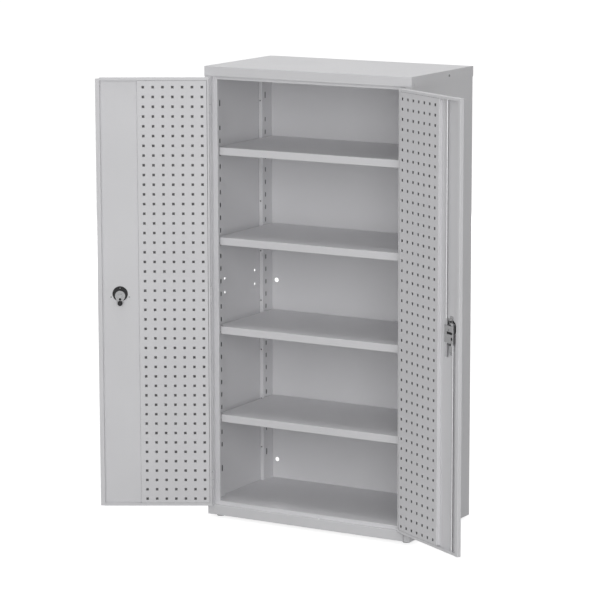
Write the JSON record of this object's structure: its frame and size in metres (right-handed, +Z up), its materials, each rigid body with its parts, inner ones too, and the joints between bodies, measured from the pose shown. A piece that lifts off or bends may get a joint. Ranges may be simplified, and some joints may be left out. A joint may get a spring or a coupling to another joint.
{
  "type": "tool cabinet",
  "caption": "Floor-standing steel tool cabinet with two hinged doors, perforated door panels, adjustable shelves on slotted channels and a rod lock.",
  "frame": {"origin": "on the floor under the middle of the cabinet's width and depth", "axes": "+Z up, +Y from the doors towards the back, +X towards the door with the rod lock"},
  "size_m": [1.5933, 0.7556, 1.8],
  "materials": {
    "cabinet_paint": "light grey powder coat",
    "channel_paint": "light grey powder coat",
    "shelf_paint": "light grey powder coat",
    "door_paint": "light grey powder coat",
    "panel_paint": "light grey powder coat",
    "hinge_paint": "light grey powder coat",
    "zinc_steel": "dull zinc",
    "lock_steel": "satin",
    "lever_steel": "dull zinc with brushed patches",
    "black_plastic": "fine grain",
    "black_screw": "black oxide",
    "drawn_steel": "cold drawn"
  },
  "bodies": {
    "cabinet": {"left_side_panel": "cabinet_paint", "right_side_panel": "cabinet_paint", "back_panel": "cabinet_paint", "top_cap": "cabinet_paint", "floor_panel": "cabinet_paint", "left_front_channel": "channel_paint", "left_rear_channel": "channel_paint", "right_front_channel": "channel_paint", "right_rear_channel": "channel_paint", "shelf_1": "shelf_paint", "shelf_2": "shelf_paint", "shelf_3": "shelf_paint", "shelf_4": "shelf_paint", "shelf_clips": "zinc_steel", "foot_gussets": "zinc_steel", "foot_pads": "zinc_steel", "foot_studs": "zinc_steel", "foot_nuts": "zinc_steel", "cap_screws": "zinc_steel", "hinge_frame_leaves": "hinge_paint", "hinge_pins": "zinc_steel", "hinge_washers": "zinc_steel"},
    "left_door": {"left_door_pan": "door_paint", "left_perforated_panel": "panel_paint", "left_hinge_leaves": "hinge_paint", "left_lock_housing": "black_plastic", "left_lock_plate": "black_plastic", "left_lock_screws": "zinc_steel"},
    "left_latch": {"left_turn_handle": "black_plastic", "left_spindle": "zinc_steel", "left_cam_lever": "lever_steel", "left_lever_knob": "black_plastic", "left_spindle_nut": "zinc_steel"},
    "right_door": {"right_door_pan": "door_paint", "right_perforated_panel": "panel_paint", "right_hinge_leaves": "hinge_paint", "right_lock_housing": "black_plastic", "right_lock_plate": "black_plastic", "right_lock_screws": "zinc_steel", "rod_lock_base": "lock_steel", "rod_lock_cover": "lock_steel", "rod_lock_screws": "black_screw", "rod_guides": "door_paint"},
    "right_latch": {"right_turn_handle": "black_plastic", "right_spindle": "zinc_steel", "rod_pinion": "zinc_steel"},
    "rod_up": {"upper_rod": "drawn_steel"},
    "rod_down": {"lower_rod": "drawn_steel"}
  },
  "joints": [
    {"name": "left_door_hinge", "type": "hinge", "parent": "cabinet", "child": "left_door", "pos_m": [-0.4287, -0.26, 0.9045], "axis": [0, 0, 1], "range_deg": [-30, 150]},
    {"name": "right_door_hinge", "type": "hinge", "parent": "cabinet", "child": "right_door", "pos_m": [0.4287, -0.26, 0.9045], "axis": [0, 0, -1], "range_deg": [-30, 150]},
    {"name": "left_handle_turn", "type": "hinge", "parent": "left_door", "child": "left_latch", "pos_m": [-0.73352, -0.44523, 0.9], "axis": [-0.5, 0.866, 0], "range_deg": [0, 90]},
    {"name": "right_handle_turn", "type": "hinge", "parent": "right_door", "child": "right_latch", "pos_m": [0.73352, -0.44523, 0.9], "axis": [0.5, 0.866, 0], "range_deg": [0, 90]},
    {"name": "upper_rod_slide", "type": "slide", "parent": "right_door", "child": "rod_up", "axis": [0, 0, 1], "range_m": [0, 0.01884]},
    {"name": "lower_rod_slide", "type": "slide", "parent": "right_door", "child": "rod_down", "axis": [0, 0, -1], "range_m": [0, 0.01884]}
  ],
  "couplings": [
    {"joint": "right_handle_turn", "follows": "upper_rod_slide", "rad_per_m": 83.333},
    {"joint": "lower_rod_slide", "follows": "upper_rod_slide", "ratio": 1}
  ]
}
